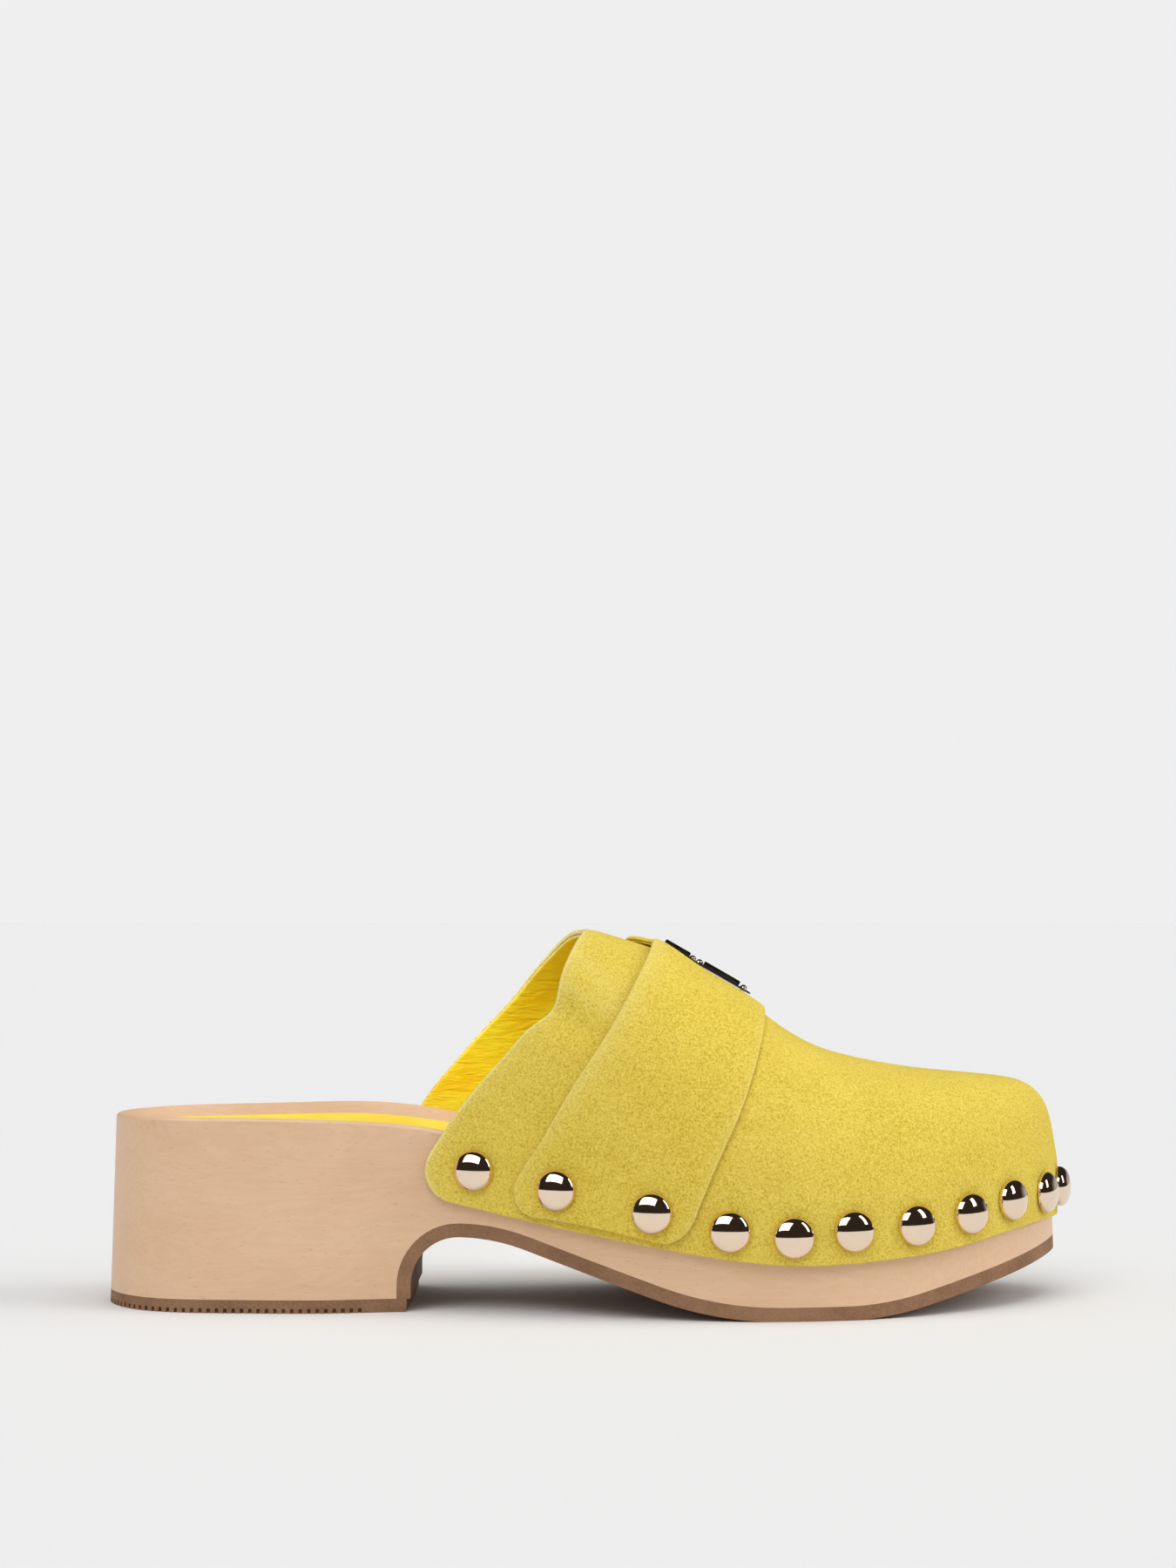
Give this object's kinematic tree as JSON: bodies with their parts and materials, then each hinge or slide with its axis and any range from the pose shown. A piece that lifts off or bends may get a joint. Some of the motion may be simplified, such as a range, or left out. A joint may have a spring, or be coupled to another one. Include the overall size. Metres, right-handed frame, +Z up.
{
  "type": "wooden clog",
  "caption": "Women's heeled clog: shaped wooden sole with rubber tread, closed suede toe nailed on with dome studs, wide instep strap with a metal ornament, open back.",
  "frame": {"origin": "centre of the bounding box's bottom face, on the floor under the middle of the clog", "axes": "+X from the heel to the toe, +Y to the inner (medial) side of the right foot, +Z up"},
  "size_m": [0.2544, 0.0984, 0.0973],
  "materials": {
    "wood": "sanded, thin matt lacquer, fine pale grain",
    "rubber": "matt brown rubber",
    "foam": "open-cell foam",
    "sock_leather": "smooth leather, satin",
    "lining_leather": "smooth leather, fine creases, satin",
    "suede": "suede nap, matt",
    "strap_lining": "matt leather",
    "puff": "stiffened felt",
    "stud_metal": "polished, pale gold",
    "ornament_metal": "polished, pale gold"
  },
  "bodies": {
    "root": {"wooden_sole": "wood", "outsole": "rubber", "heel_lift": "rubber", "foam_pad": "foam", "sock_lining": "sock_leather", "vamp": "suede", "vamp_lining": "lining_leather", "toe_puff": "puff", "strap": "suede", "strap_lining": "strap_lining", "ornament_plate": "ornament_metal", "ornament_bar_rear": "ornament_metal", "ornament_bar_front": "ornament_metal", "ornament_bead": "ornament_metal", "ornament_rivet_rear": "ornament_metal", "ornament_rivet_front": "ornament_metal", "ornament_clinch_plate": "ornament_metal", "stud_01": "stud_metal", "stud_02": "stud_metal", "stud_03": "stud_metal", "stud_04": "stud_metal", "stud_05": "stud_metal", "stud_06": "stud_metal", "stud_07": "stud_metal", "stud_08": "stud_metal", "stud_09": "stud_metal", "stud_10": "stud_metal", "stud_11": "stud_metal", "stud_12": "stud_metal", "stud_13": "stud_metal", "stud_14": "stud_metal", "stud_15": "stud_metal", "stud_16": "stud_metal", "stud_17": "stud_metal", "stud_18": "stud_metal", "stud_19": "stud_metal", "stud_20": "stud_metal", "stud_21": "stud_metal"}
  },
  "joints": []
}
